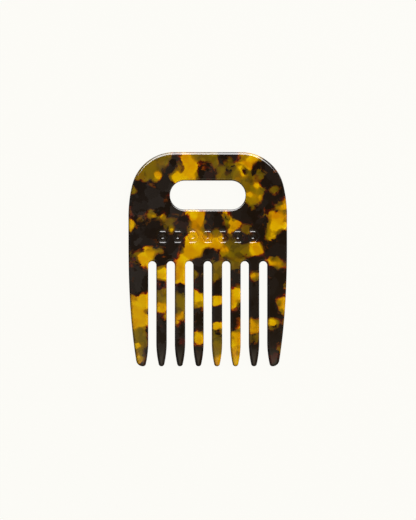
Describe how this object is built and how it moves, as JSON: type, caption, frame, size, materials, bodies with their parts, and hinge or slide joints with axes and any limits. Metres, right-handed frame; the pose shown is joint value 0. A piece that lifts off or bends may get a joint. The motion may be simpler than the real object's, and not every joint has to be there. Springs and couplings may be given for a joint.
{
  "type": "hair comb",
  "caption": "Wide-tooth pocket hair comb with a rounded head, a finger slot in the handle and straight tapered teeth, cut from one acetate sheet.",
  "frame": {"origin": "on the table under the middle of the comb, which lies on its back", "axes": "+Z through the thickness and out of the front face, +Y along the comb towards the handle, teeth towards -Y, +X across the width"},
  "size_m": [0.074, 0.1, 0.005],
  "materials": {
    "acetate": "polished tortoiseshell cellulose acetate: dark brown and olive chips in clear amber, tumbled edges"
  },
  "bodies": {
    "root": {"comb": "acetate"}
  },
  "joints": []
}
